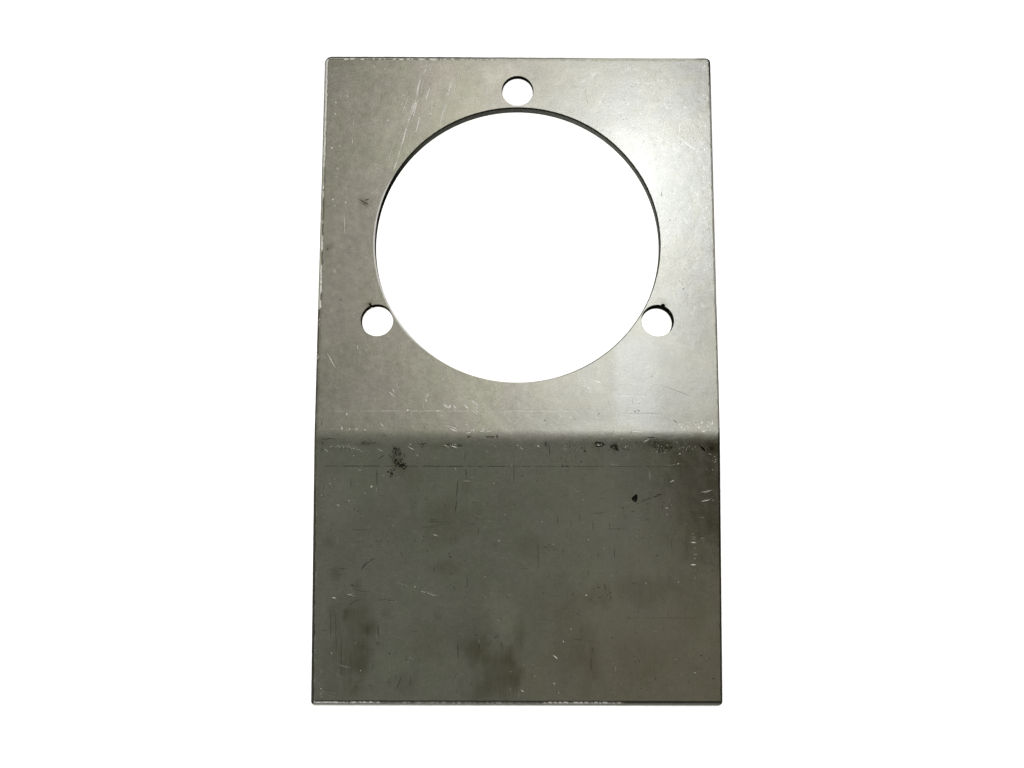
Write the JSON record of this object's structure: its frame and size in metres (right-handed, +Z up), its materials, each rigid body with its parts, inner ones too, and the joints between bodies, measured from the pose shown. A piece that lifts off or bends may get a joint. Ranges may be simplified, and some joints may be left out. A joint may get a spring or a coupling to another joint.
{
  "type": "motor mounting bracket",
  "caption": "Flat steel plate with one shallow bend across it: a square motor leg with a large pilot hole inside a ring of bolt holes, and a shorter blank leg for welding or clamping.",
  "frame": {"origin": "under the middle of the bounding box, at the level of the two resting end edges", "axes": "+Z up, out of the outside of the bend; X across the width, along the bend line; +Y along the length, towards the motor leg with the pilot hole"},
  "size_m": [0.127, 0.2092, 0.0101],
  "materials": {
    "mill_steel": "unpolished satin mill finish, bare, with handling scratches"
  },
  "bodies": {
    "root": {"bracket_plate": "mill_steel"}
  },
  "joints": []
}
